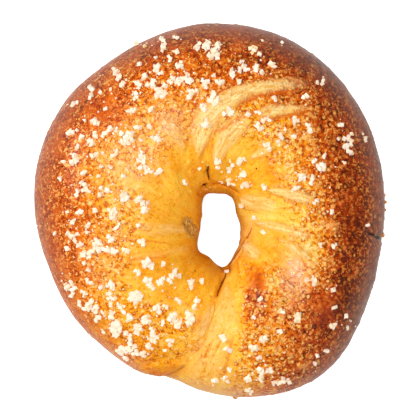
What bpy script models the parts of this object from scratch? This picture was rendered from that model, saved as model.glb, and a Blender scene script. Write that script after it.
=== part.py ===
"""A baked ring roll: one strip of dough whose ends overlap, lying on its flat underside.

Metres, +Z up, origin at the middle of the footprint, on the surface that the roll lies on.
"""
import math
from collections import namedtuple

import bmesh
import bpy
from mathutils import Matrix, Vector

MM = 0.001

# Driving dimensions
RING_RADIUS = 53.6 * MM           # middle to outer edge, where nothing swells it
HOLE_CENTRE = Vector((2.9 * MM, -5.4 * MM))
HOLE_RADIUS = 5.9 * MM            # the hole, where nothing stretches it
CROWN_HEIGHT = 36.5 * MM          # top of the strip over the surface
WAIST_SHARE = 0.43                # height of the widest level, as a share of the crown
UNDERSIDE_SINK = 1.08             # over 1, so that the underside is cut off flat
TOP_FULLNESS = 2.15               # exponents of the section's curve: 2 is an ellipse
UNDERSIDE_FULLNESS = 2.4
CROWN_LEAN = 0.16                 # how far the crown leans towards the hole

STATIONS = 96                     # sections around the ring
SECTION_POINTS = 48               # points around one section

# A swell or hollow of an edge: heading in degrees, size, and how many degrees wide it is
Lobe = namedtuple("Lobe", "heading size spread")

OUTER_LOBES = (
    Lobe(302, 7.3 * MM, 27),      # fat end of the strip, right of the overlap
    Lobe(76, 4.5 * MM, 42),       # long swell of the far side
    Lobe(38, 1.0 * MM, 22),
    Lobe(148, 1.5 * MM, 20),
    Lobe(200, -1.8 * MM, 18),     # flattened left side
    Lobe(230, -0.9 * MM, 18),
    Lobe(248, 0.7 * MM, 5),       # tip of the tucked end
    Lobe(257, -2.0 * MM, 7),      # nick beside it
    Lobe(278, 0.5 * MM, 4),
)

HOLE_LOBES = (
    Lobe(108, 4.8 * MM, 22),      # pulled long, away from the overlap
    Lobe(72, 4.2 * MM, 22),
    Lobe(276, 5.1 * MM, 22),      # pointed end, where the overlap starts
    Lobe(232, 2.8 * MM, 24),
    Lobe(312, 1.9 * MM, 28),
    Lobe(20, 0.9 * MM, 48),
    Lobe(178, -0.6 * MM, 20),
)

CROWN_LOBES = (
    Lobe(165, 1.6 * MM, 50),      # tallest on the left
    Lobe(252, -2.4 * MM, 22),     # lowest over the overlap
    Lobe(305, 1.2 * MM, 26),
    Lobe(20, -0.9 * MM, 30),
)

# A fold or ridge on the crown: points in millimetres, depth (negative for a ridge), half width
Crease = namedtuple("Crease", "path depth width")

CREASES = (
    # the overlap: a valley that runs from the hole's point to the tucked end
    Crease(((5.0, -17.6), (3.9, -22.5), (2.2, -28.5), (0.2, -36.0), (-4.6, -44.0), (-15.0, -49.5)),
           2.3 * MM, 2.6 * MM),
    # pale stretched band between the two strands
    Crease(((7.0, -28.0), (6.5, -38.0), (4.0, -50.0)), 0.9 * MM, 6.5 * MM),
    # edge of the upper strand
    Crease(((13.2, -20.0), (14.2, -32.0), (12.5, -50.0)), -0.8 * MM, 3.5 * MM),
    # lip along the right of the hole
    Crease(((13.2, -3.6), (11.9, -8.6), (9.9, -12.8), (6.4, -18.2)), 0.9 * MM, 1.3 * MM),
    # slit and fold at the far end of the hole
    Crease(((-0.7, 12.5), (-1.2, 7.6)), 1.7 * MM, 1.0 * MM),
    Crease(((-0.2, 7.4), (9.4, 4.6)), 1.0 * MM, 1.2 * MM),
    # stretched ridges on the far right
    Crease(((9.5, 37.0), (22.0, 39.0), (32.0, 40.5)), -0.8 * MM, 2.0 * MM),
    Crease(((11.0, 33.0), (24.0, 34.6), (33.0, 35.5)), 0.7 * MM, 2.0 * MM),
    Crease(((13.5, 28.5), (22.0, 30.6), (32.0, 31.0)), -0.8 * MM, 2.2 * MM),
    Crease(((1.5, 17.0), (5.0, 23.5), (13.2, 27.0)), -0.7 * MM, 2.2 * MM),
    Crease(((20.0, 5.0), (31.0, 4.4)), -0.6 * MM, 2.2 * MM),
)

# Wrinkles that run out from the hole
WRINKLE_DEPTH = 0.42 * MM
WRINKLE_REACH = 20.0 * MM         # they fade this far from the hole's edge
WRINKLES_AROUND = (13, 8)         # two waves of different count, so that none is like its neighbour
WRINKLE_TWIST = 0.7               # turn of a wrinkle over its reach, in radians

CRUST_COLOUR = (0.53, 0.20, 0.04, 1.0)
CRUST_ROUGHNESS = 0.5


def angle_apart(a, b):
    """Smallest difference between two headings, in degrees."""
    return (a - b + 180.0) % 360.0 - 180.0


def lobes_at(lobes, heading):
    return sum(lobe.size * math.exp(-(angle_apart(heading, lobe.heading) / lobe.spread) ** 2)
               for lobe in lobes)


def edge_points(turn):
    """Where the section at this turn meets the hole and the outer edge, seen from above."""
    heading = math.degrees(turn)
    outward = Vector((math.cos(turn), math.sin(turn)))
    hole_edge = HOLE_CENTRE + outward * (HOLE_RADIUS + lobes_at(HOLE_LOBES, heading))
    outer_edge = outward * (RING_RADIUS + lobes_at(OUTER_LOBES, heading))
    return hole_edge, outer_edge


def powered(value, exponent):
    """A sine or cosine raised to a power, keeping its sign."""
    return math.copysign(abs(value) ** exponent, value)


def distance_to_path(point, path):
    """Distance from a point to a line through the path's points, all seen from above."""
    nearest = math.inf
    for start, end in zip(path, path[1:]):
        a, b = Vector(start) * MM, Vector(end) * MM
        run = b - a
        share = max(0.0, min(1.0, (point - a).dot(run) / run.length_squared))
        nearest = min(nearest, (point - a - run * share).length)
    return nearest


def crease_depth(point):
    return sum(crease.depth * math.exp(-(distance_to_path(point, crease.path) / crease.width) ** 2)
               for crease in CREASES)


def wrinkle_depth(turn, from_hole):
    """Radial wrinkles, deepest a little way out from the hole."""
    share = from_hole / WRINKLE_REACH
    fade = share * math.exp(1.0 - share) * math.exp(-share * share)
    twisted = turn + WRINKLE_TWIST * share
    first, second = (math.sin(count * twisted + count) for count in WRINKLES_AROUND)
    return WRINKLE_DEPTH * fade * (first + second)


def shaped_point(turn, around):
    """A point of the crust. around is the angle about the section: 0 outside, 90 degrees on top."""
    hole_edge, outer_edge = edge_points(turn)
    strip = outer_edge - hole_edge
    half_width = strip.length / 2
    crown = CROWN_HEIGHT + lobes_at(CROWN_LOBES, math.degrees(turn))
    waist = WAIST_SHARE * crown

    on_top = math.sin(around) >= 0
    fullness = TOP_FULLNESS if on_top else UNDERSIDE_FULLNESS
    across = powered(math.cos(around), 2 / fullness)
    rise = powered(math.sin(around), 2 / fullness)
    if on_top:
        across -= CROWN_LEAN * rise * (1 - across * across)
    plan = (hole_edge + outer_edge) / 2 + strip.normalized() * (across * half_width)
    if not on_top:
        return Vector((plan.x, plan.y, max(0.0, waist * (1 + UNDERSIDE_SINK * rise))))

    from_hole = (plan - hole_edge).length
    dip = (crease_depth(plan) + wrinkle_depth(turn, from_hole)) * math.sin(around)
    return Vector((plan.x, plan.y, waist + (crown - waist) * rise - dip))


def crust_material():
    material = bpy.data.materials.new("baked_crust")
    material.use_nodes = True
    shader = material.node_tree.nodes["Principled BSDF"]
    shader.inputs["Base Color"].default_value = CRUST_COLOUR
    shader.inputs["Roughness"].default_value = CRUST_ROUGHNESS
    shader.inputs["Metallic"].default_value = 0.0
    return material


def bread_ring():
    """A circle spun into a plain ring, then each of its points moved to its place on the crust."""
    plain_ring, plain_strip = 2.0, 1.0
    ring = bmesh.new()
    tilt = Matrix.Rotation(math.pi / 2, 4, "X")
    section = bmesh.ops.create_circle(ring, segments=SECTION_POINTS, radius=plain_strip,
                                      matrix=Matrix.Translation((plain_ring, 0, 0)) @ tilt)
    edges = {edge for vert in section["verts"] for edge in vert.link_edges}
    bmesh.ops.spin(ring, geom=section["verts"] + list(edges), cent=(0, 0, 0), axis=(0, 0, 1),
                   angle=math.tau, steps=STATIONS, use_merge=True)
    bmesh.ops.remove_doubles(ring, verts=ring.verts, dist=plain_strip / 1000)
    for vert in ring.verts:
        turn = math.atan2(vert.co.y, vert.co.x)
        around = math.atan2(vert.co.z, math.hypot(vert.co.x, vert.co.y) - plain_ring)
        vert.co = shaped_point(turn, around)
    bmesh.ops.recalc_face_normals(ring, faces=ring.faces)

    mesh = bpy.data.meshes.new("bread_ring")
    ring.to_mesh(mesh)
    ring.free()
    mesh.shade_smooth()
    mesh.materials.append(crust_material())
    bread = bpy.data.objects.new("bread_ring", mesh)
    bpy.context.collection.objects.link(bread)
    return bread


def centre_on_footprint(bread):
    """Moves the mesh so that the middle of its box, seen from above, is the origin."""
    corners = [Vector(corner) for corner in bread.bound_box]
    low = Vector(min(corner[axis] for corner in corners) for axis in range(3))
    high = Vector(max(corner[axis] for corner in corners) for axis in range(3))
    middle = (low + high) / 2
    bread.data.transform(Matrix.Translation((-middle.x, -middle.y, -low.z)))


def main():
    for left_over in list(bpy.data.objects):
        bpy.data.objects.remove(left_over, do_unlink=True)
    centre_on_footprint(bread_ring())


main()
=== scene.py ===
import math

import bpy
import numpy as np
from mathutils import Euler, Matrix, Vector, kdtree, noise
from mathutils.bvhtree import BVHTree


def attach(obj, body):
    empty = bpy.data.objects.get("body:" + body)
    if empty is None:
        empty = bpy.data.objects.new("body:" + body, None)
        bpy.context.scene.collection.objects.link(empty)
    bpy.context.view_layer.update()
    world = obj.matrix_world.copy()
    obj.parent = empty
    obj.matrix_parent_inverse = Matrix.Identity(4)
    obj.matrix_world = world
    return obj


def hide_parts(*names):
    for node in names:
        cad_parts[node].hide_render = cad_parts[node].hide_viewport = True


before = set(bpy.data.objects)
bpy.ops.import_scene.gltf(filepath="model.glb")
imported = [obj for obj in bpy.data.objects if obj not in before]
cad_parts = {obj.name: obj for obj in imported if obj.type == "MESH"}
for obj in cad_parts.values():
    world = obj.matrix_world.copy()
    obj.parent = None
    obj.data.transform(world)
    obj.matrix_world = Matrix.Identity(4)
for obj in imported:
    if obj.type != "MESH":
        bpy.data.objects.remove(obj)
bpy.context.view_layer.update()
print("frame loaded")

mm = 0.001


def deselectAll():
    if bpy.context.mode != "OBJECT":
        bpy.ops.object.mode_set(mode="OBJECT")
    bpy.ops.object.select_all(action="DESELECT")


def makeActive(piece):
    deselectAll()
    piece.select_set(True)
    bpy.context.view_layer.objects.active = piece


def applyModifier(piece, kind, **settings):
    makeActive(piece)
    bpy.ops.object.modifier_add(type=kind)
    modifier = piece.modifiers[-1]
    for name, value in settings.items():
        setattr(modifier, name, value)
    bpy.ops.object.modifier_apply(modifier=modifier.name)


def applyPlace(piece):
    makeActive(piece)
    bpy.ops.object.transform_apply(location=True, rotation=True, scale=True)


def vertexArray(source, field):
    values = np.empty(len(source) * 3, np.float32)
    source.foreach_get(field, values)
    return values.reshape(-1, 3).astype(float)


def storeAttribute(mesh, name, values):
    layer = mesh.attributes.new(name, "FLOAT", "POINT")
    layer.data.foreach_set("value", np.asarray(values, np.float32))


def smoothStep(low, high, values):
    share = np.clip((values - low) / (high - low), 0.0, 1.0)
    return share * share * (3.0 - 2.0 * share)


def clamp01(values):
    return np.clip(values, 0.0, 1.0)


def paint(red, green, blue, alpha=1.0):
    # a colour as the eye names it, 0 to 255, turned into the renderer's linear light
    shares = [value / 255 for value in (red, green, blue)]
    linear = tuple(s / 12.92 if s <= 0.04045 else ((s + 0.055) / 1.055) ** 2.4 for s in shares)
    return linear + (alpha,)


# shader building blocks

def addNode(tree, kind, inputs=None, **settings):
    node = tree.nodes.new("ShaderNode" + kind)
    for name, value in settings.items():
        setattr(node, name, value)
    for name, value in (inputs or {}).items():
        if isinstance(value, bpy.types.NodeSocket):
            tree.links.new(value, node.inputs[name])
        else:
            node.inputs[name].default_value = value
    return node


def addGroup(tree, group, inputs):
    return addNode(tree, "Group", inputs, node_tree=group).outputs


def maths(tree, operation, *values):
    return addNode(tree, "Math", dict(enumerate(values)), operation=operation).outputs[0]


def vectorMaths(tree, operation, *values, out="Vector"):
    return addNode(tree, "VectorMath", dict(enumerate(values)), operation=operation).outputs[out]


def softRange(tree, value, low, high, toLow=0.0, toHigh=1.0):
    node = addNode(tree, "MapRange", {"Value": value, "From Min": low, "From Max": high,
                                      "To Min": toLow, "To Max": toHigh}, interpolation_type="SMOOTHSTEP")
    return node.outputs[0]


def mixColours(tree, share, first, second):
    return addNode(tree, "Mix", {0: share, 6: first, 7: second}, data_type="RGBA").outputs[2]


def readAttribute(tree, name):
    return addNode(tree, "Attribute", attribute_name=name).outputs["Fac"]


def colourRamp(tree, value, stops):
    node = addNode(tree, "ValToRGB", {"Fac": value})
    elements = node.color_ramp.elements
    while len(elements) < len(stops):
        elements.new(0.5)
    for element, (position, colour) in zip(elements, stops):
        element.position = position
        element.color = paint(*colour)
    return node.outputs["Color"]


def plainNoise(tree, place, scale, detail, roughness):
    return addNode(tree, "TexNoise", {"Vector": place, "Scale": scale, "Detail": detail,
                                      "Roughness": roughness}).outputs["Fac"]


def newMaterial(name):
    material = bpy.data.materials.new(name)
    material.use_nodes = True
    tree = material.node_tree
    return material, tree, tree.nodes["Principled BSDF"]


def makeSurfaceGrain():
    # unevenness that crust, crumbs and salt all have: soft patches, fine grain, and their height
    group = bpy.data.node_groups.new("surfaceGrain", "ShaderNodeTree")
    group.interface.new_socket("Place", in_out="INPUT", socket_type="NodeSocketVector")
    for name in ("Patch Scale", "Grain Scale"):
        group.interface.new_socket(name, in_out="INPUT", socket_type="NodeSocketFloat")
    for name in ("Patches", "Grain", "Height"):
        group.interface.new_socket(name, in_out="OUTPUT", socket_type="NodeSocketFloat")
    entry, leaving = group.nodes.new("NodeGroupInput").outputs, group.nodes.new("NodeGroupOutput").inputs
    patches = plainNoise(group, entry["Place"], entry["Patch Scale"], 4.0, 0.6)
    grain = plainNoise(group, entry["Place"], entry["Grain Scale"], 2.0, 0.5)
    group.links.new(patches, leaving["Patches"])
    group.links.new(grain, leaving["Grain"])
    group.links.new(maths(group, "MULTIPLY_ADD", patches, 0.5, grain), leaving["Height"])
    return group


surfaceGrain = makeSurfaceGrain()


studio = {
    "cameraHeight": 0.95,
    "waistHeight": 0.017,      # the level at which the outline is widest
    "shownWidth": 0.1280,      # what the frame takes in at that level
    "sensorWidth": 36.0,       # millimetres, as the lens
    "aimAt": (0.0002, 0.0),
    "floorSize": 3.0,
    "floorDrop": 0.0002,
    "floorColour": (232, 232, 230),
    "floorRoughness": 0.8,
    "floorGlow": 0.85,
    "tentColour": (1.0, 0.99, 0.975, 1.0),
    "horizonLight": 0.36,
    "zenithLight": 0.16,
    "lights": [
        # name, place, size, watts
        ("overheadSoftbox", (-0.10, 0.05, 1.15), 0.34, 8.6),
        ("leftWindow", (-0.85, 0.30, 0.60), 0.50, 6.6),
        ("rightCard", (0.62, -0.46, 0.55), 0.45, 1.8),
    ],
}


def makeCamera(plan):
    distance = plan["cameraHeight"] - plan["waistHeight"]
    bpy.ops.object.camera_add(location=(*plan["aimAt"], plan["cameraHeight"]), rotation=(0, 0, 0))
    camera = bpy.context.object
    camera.name = "camera"
    camera.data.sensor_width = plan["sensorWidth"]
    camera.data.lens = plan["sensorWidth"] * distance / plan["shownWidth"]
    camera.data.clip_start = 0.01
    camera.data.clip_end = 20.0
    bpy.context.scene.camera = camera


def makeLights(plan):
    for name, spot, size, watts in plan["lights"]:
        facing = (-Vector(spot)).to_track_quat("-Z", "Y").to_euler()
        bpy.ops.object.light_add(type="AREA", location=spot, rotation=facing)
        light = bpy.context.object
        light.name = name
        light.data.shape = "SQUARE"
        light.data.size = size
        light.data.energy = watts


def makeSurround(plan):
    # soft white walls all round, darker straight above, as in a small white tent with an open top
    world = bpy.data.worlds.new("whiteTent")
    world.use_nodes = True
    bpy.context.scene.world = world
    tree = world.node_tree
    background = tree.nodes["Background"]
    lookTowards = addNode(tree, "TexCoord").outputs["Generated"]
    height = addNode(tree, "SeparateXYZ", {0: lookTowards}).outputs["Z"]
    strength = softRange(tree, height, 0.25, 0.95, plan["horizonLight"], plan["zenithLight"])
    # to the eye the tent's walls are as white as the floor
    seen = addNode(tree, "LightPath").outputs["Is Camera Ray"]
    tree.links.new(maths(tree, "MAXIMUM", strength, seen), background.inputs["Strength"])
    background.inputs["Color"].default_value = plan["tentColour"]


def makeFloor(plan):
    bpy.ops.mesh.primitive_plane_add(size=plan["floorSize"], location=(0, 0, -plan["floorDrop"]))
    floor = bpy.context.object
    floor.name = "floor"
    applyPlace(floor)
    material, tree, shader = newMaterial("floorCard")
    shader.inputs["Base Color"].default_value = paint(*plan["floorColour"])
    shader.inputs["Roughness"].default_value = plan["floorRoughness"]
    shader.inputs["Emission Color"].default_value = (1.0, 1.0, 1.0, 1.0)
    # the card is lit from behind, which only the eye sees, so that it stays white in the hole
    seen = addNode(tree, "LightPath").outputs["Is Camera Ray"]
    tree.links.new(maths(tree, "MULTIPLY", seen, plan["floorGlow"]), shader.inputs["Emission Strength"])
    floor.data.materials.append(material)


deselectAll()
makeCamera(studio)
makeLights(studio)
makeSurround(studio)
makeFloor(studio)
bpy.context.scene.view_settings.view_transform = "Standard"
print("camera, lights and floor made")


# the crust: the wrapped skin over the CAD solid, its relief and its browning

crust = {
    "startRing": {"centre": (1.4, -2.7, 17.0), "major": 31.0, "minor": 9.0},
    "majorSegments": 96,
    "minorSegments": 60,
    "topDensity": 0.30,        # how far the section's points are gathered on top
    "subdivisions": 2,
    "holeCentre": (2.9, -5.4),
    "waist": 16.0,             # height of the widest level
    "swells": [(14.0, 0.30), (5.0, 0.14), (1.8, 0.05)],   # size and height of the crust's unevenness
    "streaks": [(4.5, 0.34), (2.2, 0.10)],                # the same for the streaks beside the hole
    "scarRelief": (0.9, 0.5),                             # and for the crumbs of the scar
    "smallBlisters": 1300,
    "smallBlisterRadius": (0.55, 0.95),                   # in millimetres
    "smallBlisterRise": (0.12, 0.24),                     # share of its radius that a blister stands up
    # chances of a small blister between speckles, and anywhere, where a blistered place has 1
    "blistersInSpeckles": 0.25,
    "strayBlisters": 0.02,
    "seed": 11,
}


def makeFormToWrap(node):
    # a smooth copy of the solid, for the crust to be drawn onto
    form = bpy.data.objects.new("formToWrap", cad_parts[node].data.copy())
    bpy.context.collection.objects.link(form)
    makeActive(form)
    bpy.ops.object.mode_set(mode="EDIT")
    bpy.ops.mesh.select_all(action="SELECT")
    bpy.ops.mesh.remove_doubles(threshold=0.00001)
    bpy.ops.mesh.tris_convert_to_quads(face_threshold=math.radians(40), shape_threshold=math.radians(40))
    bpy.ops.mesh.normals_make_consistent(inside=False)
    bpy.ops.object.mode_set(mode="OBJECT")
    applyModifier(form, "SUBSURF", levels=2, render_levels=2)
    return form


def makeCrustMesh(plan, form):
    ring = plan["startRing"]
    bpy.ops.mesh.primitive_torus_add(
        location=[value * mm for value in ring["centre"]],
        major_radius=ring["major"] * mm, minor_radius=ring["minor"] * mm,
        major_segments=plan["majorSegments"], minor_segments=plan["minorSegments"])
    piece = bpy.context.object
    piece.name = "crust"
    gatherOnTop(piece.data, ring, plan["topDensity"])
    applyPlace(piece)
    applyModifier(piece, "SHRINKWRAP", target=form, wrap_method="PROJECT",
                  use_negative_direction=False, use_positive_direction=True)
    level = plan["subdivisions"]
    applyModifier(piece, "SUBSURF", levels=level, render_levels=level)
    makeActive(piece)
    bpy.ops.object.shade_smooth()
    return piece


def gatherOnTop(mesh, ring, amount):
    for vertex in mesh.vertices:
        turn = math.atan2(vertex.co.y, vertex.co.x)
        reach = math.hypot(vertex.co.x, vertex.co.y) - ring["major"] * mm
        fromTop = math.atan2(vertex.co.z, reach) - math.pi / 2
        around = fromTop - amount * math.sin(fromTop) + math.pi / 2
        out = (ring["major"] + ring["minor"] * math.cos(around)) * mm
        height = ring["minor"] * math.sin(around) * mm
        vertex.co = (out * math.cos(turn), out * math.sin(turn), height)


sectors = 180                  # slices of the ring in which the hole and the rim are looked for
sectorWidth = 360 / sectors    # degrees
farAway = 1000.0               # millimetres, further than anything here


def placesOnRing(points, plan):
    # for each point: its heading about the hole in degrees, its share of the way from the hole
    # to the rim, how far it is below the waist (0 to 1), and its distance from the hole's middle
    east, north = points[:, 0] - plan["holeCentre"][0], points[:, 1] - plan["holeCentre"][1]
    reach = np.hypot(east, north)
    heading = np.degrees(np.arctan2(north, east)) % 360
    sector = np.minimum((heading / sectorWidth).astype(int), sectors - 1)
    inner, outer = np.full(sectors, farAway), np.zeros(sectors)
    np.minimum.at(inner, sector, reach)
    np.maximum.at(outer, sector, reach)
    middles = (np.arange(sectors) + 0.5) * sectorWidth
    inner = np.interp(heading, middles, inner, period=360)
    outer = np.interp(heading, middles, outer, period=360)
    share = np.clip((reach - inner) / (outer - inner), 0, 1)
    below = np.clip((plan["waist"] - points[:, 2]) / plan["waist"], 0, 1)
    return heading, share, below, reach


# lines pressed or torn into the crust, as the eye sees them from above, in millimetres:
# path, depth, half width, and darkness, painted shade in the hollow and partly the crust's own darker streak
# (0.3 is orange, 0.6 brown, 1 nearly black)
creases = {
    "seam": ([(5.0, -18.4), (4.1, -20.7), (3.5, -22.4), (2.8, -24.4), (2.2, -27.0)], 1.2, 0.22, 0.54),
    "seamShadow": ([(2.2, -26.6), (1.0, -30.2), (-0.8, -35.4), (-3.4, -40.6)], 0.4, 0.8, 0.08),
    "lip": ([(12.9, -4.4), (11.7, -7.2), (10.3, -9.5), (8.8, -12.2), (6.6, -15.2), (5.0, -18.4)],
            0.6, 0.20, 0.36),
    "slit": ([(-0.3, 13.6), (-0.7, 11.4), (-0.5, 9.8), (-0.1, 8.2)], 1.0, 0.22, 0.80),
    "pit": ([(-1.5, 7.6), (-0.9, 6.6)], 1.2, 0.42, 0.80),
    "foldLine": ([(-0.2, 7.3), (2.9, 7.5), (5.6, 6.7), (9.4, 4.9)], 0.5, 0.24, 0.30),
    # the hole's pointed near end and its far left corner, which are not dark
    "holePoint": ([(4.5, -15.2), (5.1, -18.6)], 2.2, 0.80, 0.0),
    "holeCorner": ([(-2.3, 3.8), (-1.5, 6.6)], 1.6, 0.80, 0.0),
    "scarEdge": ([(-7.9, -2.1), (-8.1, -3.6), (-6.9, -4.9), (-6.6, -6.3), (-5.2, -7.3), (-4.1, -8.3)],
                 0.3, 0.16, 0.34),
    "scarFlap": ([(-6.6, -3.2), (-5.0, -4.1), (-4.2, -5.2)], 0.3, 0.16, 0.32),
    "leftStreakUpper": ([(-29.0, -8.9), (-20.0, -9.3), (-12.4, -10.2)], 0.15, 0.45, 0.20),
    "leftStreakLower": ([(-25.0, -15.4), (-20.0, -14.7), (-14.6, -14.4)], 0.15, 0.45, 0.20),
    "flankCrack": ([(47.6, -6.6), (49.4, -7.2), (51.4, -8.2), (53.4, -9.2)], 0.8, 0.50, 1.0),
    "smallCrack": ([(22.4, -27.4), (24.2, -29.0)], 0.5, 0.30, 0.70),
    "tuckedEdge": ([(-14.6, -50.9), (-12.7, -50.1), (-10.1, -49.0), (-6.6, -47.1)], 0.8, 0.30, 0.30),
    "footEdge": ([(7.4, -38.0), (6.4, -42.1), (5.4, -46.5), (4.0, -50.7)], 0.3, 0.60, 0.20),
    "footStreak": ([(1.8, -39.0), (0.0, -42.0), (-1.6, -44.6), (-4.1, -46.5)], 0.2, 0.50, 0.15),
    "footStreakLow": ([(-1.0, -38.4), (-3.4, -42.4), (-6.2, -45.0)], 0.2, 0.40, 0.15),
    "footStreakRight": ([(5.2, -34.5), (3.4, -39.8), (1.0, -45.4)], 0.2, 0.40, 0.20),
    "ribbonEdge": ([(0.6, 23.5), (4.5, 24.8), (8.4, 27.6), (13.2, 29.4), (15.8, 31.2)], 0.4, 0.60, 0.22),
    "ribbonShadow": ([(16.5, 26.9), (21.9, 28.4), (26.3, 29.5), (32.4, 30.2)], 0.5, 0.50, 0.27),
    "topShadow": ([(8.9, 32.2), (13.0, 34.3), (18.4, 35.5), (27.6, 36.2)], 0.4, 0.60, 0.22),
    "innerShadow": ([(-0.6, 16.5), (-0.2, 20.0), (1.4, 25.0), (4.4, 29.6)], 0.25, 0.50, 0.12),
    "fanUpper": ([(21.2, 4.3), (24.5, 2.1), (28.5, 0.6)], 0.15, 0.40, 0.16),
    "fanMiddle": ([(24.0, -5.7), (27.5, -6.3), (31.5, -7.4)], 0.15, 0.40, 0.16),
    "fanLow": ([(26.7, -10.7), (30.9, -13.4), (34.9, -16.2)], 0.15, 0.40, 0.16),
    "fanLowest": ([(28.2, -13.4), (32.5, -16.8), (35.5, -20.0)], 0.15, 0.40, 0.16),
}

# bands where the dough stretched: points as x, y, half width, then height, how pale they are and
# how crisp their edges are
bands = {
    "topRibbon": ([(-3.4, 15.8, 1.1), (-2.6, 22.0, 2.3), (-0.8, 27.6, 3.3), (3.4, 32.2, 2.8),
                   (9.6, 35.8, 2.2), (16.0, 37.4, 1.7), (22.0, 38.2, 1.6), (27.6, 38.4, 1.7),
                   (32.0, 37.8, 1.2)], 0.38, 1.00, 0.5),
    "secondRibbon": ([(1.6, 13.9, 0.9), (3.2, 18.4, 1.9), (5.2, 22.4, 2.7), (9.2, 26.5, 2.6),
                      (13.4, 28.2, 1.7)], 0.35, 0.95, 0.5),
    "middleRibbon": ([(14.5, 29.2, 0.8), (18.4, 30.0, 1.7), (21.9, 30.2, 1.6), (26.3, 30.6, 1.0),
                      (32.0, 31.3, 0.6)], 0.32, 0.85, 0.5),
    "lens": ([(12.6, 15.8, 0.6), (15.6, 17.4, 1.2), (19.9, 19.4, 0.7)], 0.30, 0.75, 0.4),
    "rightSandy": ([(9.4, 3.6, 1.2), (12.0, 2.6, 1.9), (16.5, 1.9, 2.1), (23.0, -0.2, 1.4)], 0.25, 0.95, 0.1),
    "rightCrest": ([(17.6, 6.2, 0.6), (24.0, 5.0, 1.4), (28.5, 3.7, 1.4), (32.8, 2.0, 0.7)], 0.40, 1.00, 0.5),
    "rightMiddle": ([(13.9, -4.0, 0.8), (20.0, -4.9, 1.2), (26.7, -7.0, 1.2), (32.8, -8.6, 0.7)],
                    0.25, 0.85, 0.3),
    "rightLow": ([(10.4, -10.4, 1.2), (12.8, -12.4, 1.9), (15.6, -15.0, 1.2)], 0.25, 0.95, 0.1),
    "fanPale": ([(21.0, -9.0, 0.7), (26.0, -11.8, 1.1), (31.4, -15.6, 0.7)], 0.20, 0.45, 0.3),
    "lipRidge": ([(11.4, -8.6, 0.4), (9.2, -12.2, 0.7), (6.8, -15.6, 0.7), (5.3, -17.8, 0.4)],
                 0.35, 0.80, 0.8),
    "foot": ([(5.4, -22.4, 1.2), (5.0, -28.4, 2.4), (3.8, -35.1, 3.6), (0.8, -42.7, 5.2), (-1.6, -50.8, 7.0),
              (-3.0, -58.0, 8.0)], 0.35, 0.42, 0.0),
    "seamFold": ([(1.3, -28.6, 0.7), (-0.6, -32.7, 1.5), (-2.6, -37.2, 1.7), (-5.6, -40.6, 0.9)],
                 0.20, 0.60, 0.0),
    "leftUpper": ([(-6.4, -6.2, 0.9), (-12.0, -5.5, 1.5), (-18.1, -6.1, 1.7), (-25.8, -5.8, 1.1)],
                  0.30, 0.45, 0.0),
    "leftLower": ([(-5.9, -11.6, 0.9), (-13.6, -12.8, 1.2), (-21.2, -14.6, 1.5), (-27.9, -15.9, 1.1)],
                  0.30, 0.20, 0.0),
    "crownLeft": ([(-7.5, 18.3, 1.2), (-11.4, 24.4, 2.4), (-15.1, 29.9, 2.4)], 0.30, 0.45, 0.0),
    "tuckedTip": ([(-20.0, -48.4, 1.0), (-14.0, -48.5, 2.3), (-7.0, -46.8, 1.0)], 0.80, 0.0, 0.0),
}

# single blisters that stand out: x, y, radius, height in millimetres
bigBlisters = [
    (38.1, -4.9, 2.4, 0.65), (30.2, 32.7, 1.3, 0.40), (31.8, 36.6, 1.2, 0.40), (32.0, 34.4, 1.0, 0.35),
    (29.4, 22.4, 2.0, 0.50), (24.8, 32.3, 1.5, 0.40), (35.4, 33.0, 1.2, 0.35), (35.4, 30.2, 1.2, 0.35),
    (30.8, 28.9, 1.4, 0.40), (28.7, -47.3, 1.8, 0.60), (20.0, -42.4, 1.4, 0.45), (8.9, -27.4, 1.0, 0.40),
    (27.6, -50.6, 1.2, 0.45), (37.6, -40.2, 1.2, 0.40), (41.0, -11.5, 1.2, 0.40), (45.0, -23.8, 1.2, 0.40),
    (27.0, 42.2, 1.6, 0.35), (30.6, 41.0, 1.5, 0.35), (21.8, -32.6, 1.3, 0.40), (-22.0, 49.4, 1.2, 0.40),
    (33.5, -29.6, 1.3, 0.45), (36.0, -22.0, 1.1, 0.40), (30.5, -44.5, 1.3, 0.45), (25.0, -44.0, 1.1, 0.40),
    (22.5, -47.0, 1.2, 0.45), (33.0, -37.5, 1.2, 0.40), (17.5, -35.5, 1.1, 0.40), (44.0, -17.0, 1.0, 0.35),
]

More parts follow.
